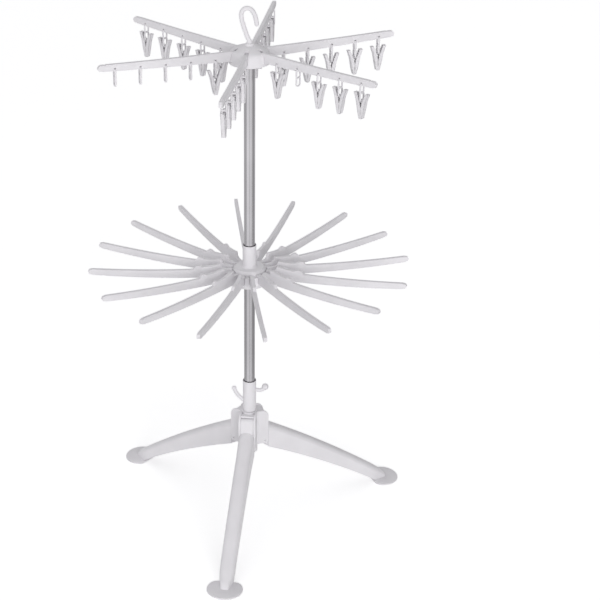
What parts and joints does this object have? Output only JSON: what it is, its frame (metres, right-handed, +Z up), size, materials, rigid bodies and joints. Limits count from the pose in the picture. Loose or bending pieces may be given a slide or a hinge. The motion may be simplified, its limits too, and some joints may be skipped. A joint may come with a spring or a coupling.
{
  "type": "rotary clothesline",
  "caption": "Free-standing tower airer with folding tripod legs, a turning tier of folding arms, a turning top with arms that carry clothes pegs, and a hanging hook.",
  "frame": {"origin": "on the floor, at the middle of the bounding box; the pole's axis stands 14.8 mm behind it, at Y = +0.0148 m, because one foot points to the front", "axes": "+Z up along the pole, -Y towards the front leg, +X to the right as seen from the front"},
  "size_m": [0.7248, 0.7544, 1.2584],
  "materials": {
    "white_plastic": "smooth white moulded plastic with a soft sheen",
    "chrome_tube": "bright chrome-plated steel tube",
    "grey_plastic": "plain grey moulded plastic, hidden in use",
    "peg_plastic": "milky, slightly see-through light grey plastic"
  },
  "bodies": {
    "base": {"base_hub": "white_plastic", "lower_pole": "chrome_tube", "pole_joiner": "grey_plastic", "upper_pole": "chrome_tube"},
    "leg_right": {"leg_right": "white_plastic"},
    "leg_left": {"leg_left": "white_plastic"},
    "leg_front": {"leg_front": "white_plastic"},
    "hook_collar": {"hook_collar": "white_plastic"},
    "tier_hub": {"tier_hub": "white_plastic", "tier_base_plate": "white_plastic"},
    "tier_arm_01": {"tier_arm_01": "white_plastic"},
    "tier_arm_02": {"tier_arm_02": "white_plastic"},
    "tier_arm_03": {"tier_arm_03": "white_plastic"},
    "tier_arm_04": {"tier_arm_04": "white_plastic"},
    "tier_arm_05": {"tier_arm_05": "white_plastic"},
    "tier_arm_06": {"tier_arm_06": "white_plastic"},
    "tier_arm_07": {"tier_arm_07": "white_plastic"},
    "tier_arm_08": {"tier_arm_08": "white_plastic"},
    "tier_arm_09": {"tier_arm_09": "white_plastic"},
    "tier_arm_10": {"tier_arm_10": "white_plastic"},
    "tier_arm_11": {"tier_arm_11": "white_plastic"},
    "tier_arm_12": {"tier_arm_12": "white_plastic"},
    "tier_arm_13": {"tier_arm_13": "white_plastic"},
    "tier_arm_14": {"tier_arm_14": "white_plastic"},
    "tier_arm_15": {"tier_arm_15": "white_plastic"},
    "tier_arm_16": {"tier_arm_16": "white_plastic"},
    "top_hub": {"top_hub": "white_plastic", "top_cover": "white_plastic"},
    "hanging_hook": {"hanging_hook": "white_plastic"},
    "peg_arm_1": {"peg_arm_1": "white_plastic"},
    "peg_1_1": {"peg_1_1": "peg_plastic"},
    "peg_1_2": {"peg_1_2": "peg_plastic"},
    "peg_1_3": {"peg_1_3": "peg_plastic"},
    "peg_1_4": {"peg_1_4": "peg_plastic"},
    "peg_1_5": {"peg_1_5": "peg_plastic"},
    "peg_arm_2": {"peg_arm_2": "white_plastic"},
    "peg_2_1": {"peg_2_1": "peg_plastic"},
    "peg_2_2": {"peg_2_2": "peg_plastic"},
    "peg_2_3": {"peg_2_3": "peg_plastic"},
    "peg_2_4": {"peg_2_4": "peg_plastic"},
    "peg_2_5": {"peg_2_5": "peg_plastic"},
    "peg_arm_3": {"peg_arm_3": "white_plastic"},
    "peg_3_1": {"peg_3_1": "peg_plastic"},
    "peg_3_2": {"peg_3_2": "peg_plastic"},
    "peg_3_3": {"peg_3_3": "peg_plastic"},
    "peg_3_4": {"peg_3_4": "peg_plastic"},
    "peg_3_5": {"peg_3_5": "peg_plastic"},
    "peg_arm_4": {"peg_arm_4": "white_plastic"},
    "peg_4_1": {"peg_4_1": "peg_plastic"},
    "peg_arm_5": {"peg_arm_5": "white_plastic"},
    "peg_5_1": {"peg_5_1": "peg_plastic"},
    "peg_5_2": {"peg_5_2": "peg_plastic"},
    "peg_5_3": {"peg_5_3": "peg_plastic"},
    "peg_5_4": {"peg_5_4": "peg_plastic"},
    "peg_5_5": {"peg_5_5": "peg_plastic"},
    "peg_arm_6": {"peg_arm_6": "white_plastic"},
    "peg_6_1": {"peg_6_1": "peg_plastic"},
    "peg_6_3": {"peg_6_3": "peg_plastic"},
    "peg_6_4": {"peg_6_4": "peg_plastic"},
    "peg_6_5": {"peg_6_5": "peg_plastic"}
  },
  "joints": [
    {"name": "leg_right_fold", "type": "hinge", "parent": "base", "child": "leg_right", "pos_m": [0.02598, 0.02981, 0.25], "axis": [0.5, -0.866, 0], "range_deg": [0, 85]},
    {"name": "leg_left_fold", "type": "hinge", "parent": "base", "child": "leg_left", "pos_m": [-0.02598, 0.02981, 0.25], "axis": [0.5, 0.866, 0], "range_deg": [0, 85]},
    {"name": "leg_front_fold", "type": "hinge", "parent": "base", "child": "leg_front", "pos_m": [0, -0.01519, 0.25], "axis": [-1, 0, 0], "range_deg": [0, 85]},
    {"name": "hook_collar_turn", "type": "hinge", "parent": "base", "child": "hook_collar", "pos_m": [0, 0.01481, 0.3], "axis": [0, 0, 1], "continuous": true},
    {"name": "tier_turn", "type": "hinge", "parent": "base", "child": "tier_hub", "pos_m": [0, 0.01481, 0.65], "axis": [0, 0, 1], "continuous": true},
    {"name": "tier_arm_01_fold", "type": "hinge", "parent": "tier_hub", "child": "tier_arm_01", "pos_m": [0.04455, 0.02625, 0.635], "axis": [0.2487, -0.9686, 0], "range_deg": [0, 90]},
    {"name": "tier_arm_02_fold", "type": "hinge", "parent": "tier_hub", "child": "tier_arm_02", "pos_m": [0.03678, 0.04243, 0.635], "axis": [0.6004, -0.7997, 0], "range_deg": [0, 90]},
    {"name": "tier_arm_03_fold", "type": "hinge", "parent": "tier_hub", "child": "tier_arm_03", "pos_m": [0.02342, 0.0544, 0.635], "axis": [0.8607, -0.509, 0], "range_deg": [0, 90]},
    {"name": "tier_arm_04_fold", "type": "hinge", "parent": "tier_hub", "child": "tier_arm_04", "pos_m": [0.00648, 0.06035, 0.635], "axis": [0.99, -0.1409, 0], "range_deg": [0, 90]},
    {"name": "tier_arm_05_fold", "type": "hinge", "parent": "tier_hub", "child": "tier_arm_05", "pos_m": [-0.01144, 0.05936, 0.635], "axis": [0.9686, 0.2487, 0], "range_deg": [0, 90]},
    {"name": "tier_arm_06_fold", "type": "hinge", "parent": "tier_hub", "child": "tier_arm_06", "pos_m": [-0.02762, 0.05159, 0.635], "axis": [0.7997, 0.6004, 0], "range_deg": [0, 90]},
    {"name": "tier_arm_07_fold", "type": "hinge", "parent": "tier_hub", "child": "tier_arm_07", "pos_m": [-0.03959, 0.03823, 0.635], "axis": [0.509, 0.8607, 0], "range_deg": [0, 90]},
    {"name": "tier_arm_08_fold", "type": "hinge", "parent": "tier_hub", "child": "tier_arm_08", "pos_m": [-0.04554, 0.02129, 0.635], "axis": [0.1409, 0.99, 0], "range_deg": [0, 90]},
    {"name": "tier_arm_09_fold", "type": "hinge", "parent": "tier_hub", "child": "tier_arm_09", "pos_m": [-0.04455, 0.00337, 0.635], "axis": [-0.2487, 0.9686, 0], "range_deg": [0, 90]},
    {"name": "tier_arm_10_fold", "type": "hinge", "parent": "tier_hub", "child": "tier_arm_10", "pos_m": [-0.03678, -0.01281, 0.635], "axis": [-0.6004, 0.7997, 0], "range_deg": [0, 90]},
    {"name": "tier_arm_11_fold", "type": "hinge", "parent": "tier_hub", "child": "tier_arm_11", "pos_m": [-0.02342, -0.02479, 0.635], "axis": [-0.8607, 0.509, 0], "range_deg": [0, 90]},
    {"name": "tier_arm_12_fold", "type": "hinge", "parent": "tier_hub", "child": "tier_arm_12", "pos_m": [-0.00648, -0.03073, 0.635], "axis": [-0.99, 0.1409, 0], "range_deg": [0, 90]},
    {"name": "tier_arm_13_fold", "type": "hinge", "parent": "tier_hub", "child": "tier_arm_13", "pos_m": [0.01144, -0.02975, 0.635], "axis": [-0.9686, -0.2487, 0], "range_deg": [0, 90]},
    {"name": "tier_arm_14_fold", "type": "hinge", "parent": "tier_hub", "child": "tier_arm_14", "pos_m": [0.02762, -0.02198, 0.635], "axis": [-0.7997, -0.6004, 0], "range_deg": [0, 90]},
    {"name": "tier_arm_15_fold", "type": "hinge", "parent": "tier_hub", "child": "tier_arm_15", "pos_m": [0.03959, -0.00861, 0.635], "axis": [-0.509, -0.8607, 0], "range_deg": [0, 90]},
    {"name": "tier_arm_16_fold", "type": "hinge", "parent": "tier_hub", "child": "tier_arm_16", "pos_m": [0.04554, 0.00833, 0.635], "axis": [-0.1409, -0.99, 0], "range_deg": [0, 90]},
    {"name": "top_turn", "type": "hinge", "parent": "base", "child": "top_hub", "pos_m": [0, 0.01481, 1.154], "axis": [0, 0, 1], "continuous": true},
    {"name": "hanging_hook_turn", "type": "hinge", "parent": "top_hub", "child": "hanging_hook", "pos_m": [0, 0.01481, 1.18], "axis": [0, 0, 1], "continuous": true},
    {"name": "peg_arm_1_fold", "type": "hinge", "parent": "top_hub", "child": "peg_arm_1", "pos_m": [0.03054, 0.03191, 1.154], "axis": [0.4886, -0.8725, 0], "range_deg": [0, 85]},
    {"name": "peg_1_1_swing", "type": "hinge", "parent": "peg_arm_1", "child": "peg_1_1", "pos_m": [0.06832, 0.05307, 1.10826], "axis": [0.4886, -0.8725, 0], "range_deg": [-20, 20]},
    {"name": "peg_1_2_swing", "type": "hinge", "parent": "peg_arm_1", "child": "peg_1_2", "pos_m": [0.11689, 0.08027, 1.11018], "axis": [0.4886, -0.8725, 0], "range_deg": [-20, 20]},
    {"name": "peg_1_3_swing", "type": "hinge", "parent": "peg_arm_1", "child": "peg_1_3", "pos_m": [0.16547, 0.10748, 1.11234], "axis": [0.4886, -0.8725, 0], "range_deg": [-20, 20]},
    {"name": "peg_1_4_swing", "type": "hinge", "parent": "peg_arm_1", "child": "peg_1_4", "pos_m": [0.21405, 0.13468, 1.11471], "axis": [0.4886, -0.8725, 0], "range_deg": [-20, 20]},
    {"name": "peg_1_5_swing", "type": "hinge", "parent": "peg_arm_1", "child": "peg_1_5", "pos_m": [0.26262, 0.16188, 1.11722], "axis": [0.4886, -0.8725, 0], "range_deg": [-20, 20]},
    {"name": "peg_arm_2_fold", "type": "hinge", "parent": "top_hub", "child": "peg_arm_2", "pos_m": [0.00046, 0.04981, 1.154], "axis": [0.9999, -0.0131, 0], "range_deg": [0, 85]},
    {"name": "peg_2_1_swing", "type": "hinge", "parent": "peg_arm_2", "child": "peg_2_1", "pos_m": [0.00103, 0.0931, 1.10826], "axis": [0.9999, -0.0131, 0], "range_deg": [-20, 20]},
    {"name": "peg_2_2_swing", "type": "hinge", "parent": "peg_arm_2", "child": "peg_2_2", "pos_m": [0.00175, 0.14877, 1.11018], "axis": [0.9999, -0.0131, 0], "range_deg": [-20, 20]},
    {"name": "peg_2_3_swing", "type": "hinge", "parent": "peg_arm_2", "child": "peg_2_3", "pos_m": [0.00248, 0.20444, 1.11234], "axis": [0.9999, -0.0131, 0], "range_deg": [-20, 20]},
    {"name": "peg_2_4_swing", "type": "hinge", "parent": "peg_arm_2", "child": "peg_2_4", "pos_m": [0.00321, 0.26011, 1.11471], "axis": [0.9999, -0.0131, 0], "range_deg": [-20, 20]},
    {"name": "peg_2_5_swing", "type": "hinge", "parent": "peg_arm_2", "child": "peg_2_5", "pos_m": [0.00394, 0.31578, 1.11722], "axis": [0.9999, -0.0131, 0], "range_deg": [-20, 20]},
    {"name": "peg_arm_3_fold", "type": "hinge", "parent": "top_hub", "child": "peg_arm_3", "pos_m": [-0.03008, 0.0327, 1.154], "axis": [0.5113, 0.8594, 0], "range_deg": [0, 85]},
    {"name": "peg_3_1_swing", "type": "hinge", "parent": "peg_arm_3", "child": "peg_3_1", "pos_m": [-0.06729, 0.05484, 1.10826], "axis": [0.5113, 0.8594, 0], "range_deg": [-20, 20]},
    {"name": "peg_3_2_swing", "type": "hinge", "parent": "peg_arm_3", "child": "peg_3_2", "pos_m": [-0.11514, 0.08331, 1.11018], "axis": [0.5113, 0.8594, 0], "range_deg": [-20, 20]},
    {"name": "peg_3_3_swing", "type": "hinge", "parent": "peg_arm_3", "child": "peg_3_3", "pos_m": [-0.16299, 0.11178, 1.11234], "axis": [0.5113, 0.8594, 0], "range_deg": [-20, 20]},
    {"name": "peg_3_4_swing", "type": "hinge", "parent": "peg_arm_3", "child": "peg_3_4", "pos_m": [-0.21083, 0.14024, 1.11471], "axis": [0.5113, 0.8594, 0], "range_deg": [-20, 20]},
    {"name": "peg_3_5_swing", "type": "hinge", "parent": "peg_arm_3", "child": "peg_3_5", "pos_m": [-0.25868, 0.16871, 1.11722], "axis": [0.5113, 0.8594, 0], "range_deg": [-20, 20]},
    {"name": "peg_arm_4_fold", "type": "hinge", "parent": "top_hub", "child": "peg_arm_4", "pos_m": [-0.03054, -0.00229, 1.154], "axis": [-0.4886, 0.8725, 0], "range_deg": [0, 85]},
    {"name": "peg_4_1_swing", "type": "hinge", "parent": "peg_arm_4", "child": "peg_4_1", "pos_m": [-0.06832, -0.02345, 1.10826], "axis": [-0.4886, 0.8725, 0], "range_deg": [-20, 20]},
    {"name": "peg_arm_5_fold", "type": "hinge", "parent": "top_hub", "child": "peg_arm_5", "pos_m": [-0.00046, -0.02019, 1.154], "axis": [-0.9999, 0.0131, 0], "range_deg": [0, 85]},
    {"name": "peg_5_1_swing", "type": "hinge", "parent": "peg_arm_5", "child": "peg_5_1", "pos_m": [-0.00103, -0.06348, 1.10826], "axis": [-0.9999, 0.0131, 0], "range_deg": [-20, 20]},
    {"name": "peg_5_2_swing", "type": "hinge", "parent": "peg_arm_5", "child": "peg_5_2", "pos_m": [-0.00175, -0.11915, 1.11018], "axis": [-0.9999, 0.0131, 0], "range_deg": [-20, 20]},
    {"name": "peg_5_3_swing", "type": "hinge", "parent": "peg_arm_5", "child": "peg_5_3", "pos_m": [-0.00248, -0.17483, 1.11234], "axis": [-0.9999, 0.0131, 0], "range_deg": [-20, 20]},
    {"name": "peg_5_4_swing", "type": "hinge", "parent": "peg_arm_5", "child": "peg_5_4", "pos_m": [-0.00321, -0.2305, 1.11471], "axis": [-0.9999, 0.0131, 0], "range_deg": [-20, 20]},
    {"name": "peg_5_5_swing", "type": "hinge", "parent": "peg_arm_5", "child": "peg_5_5", "pos_m": [-0.00394, -0.28617, 1.11722], "axis": [-0.9999, 0.0131, 0], "range_deg": [-20, 20]},
    {"name": "peg_arm_6_fold", "type": "hinge", "parent": "top_hub", "child": "peg_arm_6", "pos_m": [0.03008, -0.00309, 1.154], "axis": [-0.5113, -0.8594, 0], "range_deg": [0, 85]},
    {"name": "peg_6_1_swing", "type": "hinge", "parent": "peg_arm_6", "child": "peg_6_1", "pos_m": [0.06729, -0.02523, 1.10826], "axis": [-0.5113, -0.8594, 0], "range_deg": [-20, 20]},
    {"name": "peg_6_3_swing", "type": "hinge", "parent": "peg_arm_6", "child": "peg_6_3", "pos_m": [0.16299, -0.08216, 1.11234], "axis": [-0.5113, -0.8594, 0], "range_deg": [-20, 20]},
    {"name": "peg_6_4_swing", "type": "hinge", "parent": "peg_arm_6", "child": "peg_6_4", "pos_m": [0.21083, -0.11062, 1.11471], "axis": [-0.5113, -0.8594, 0], "range_deg": [-20, 20]},
    {"name": "peg_6_5_swing", "type": "hinge", "parent": "peg_arm_6", "child": "peg_6_5", "pos_m": [0.25868, -0.13909, 1.11722], "axis": [-0.5113, -0.8594, 0], "range_deg": [-20, 20]}
  ]
}
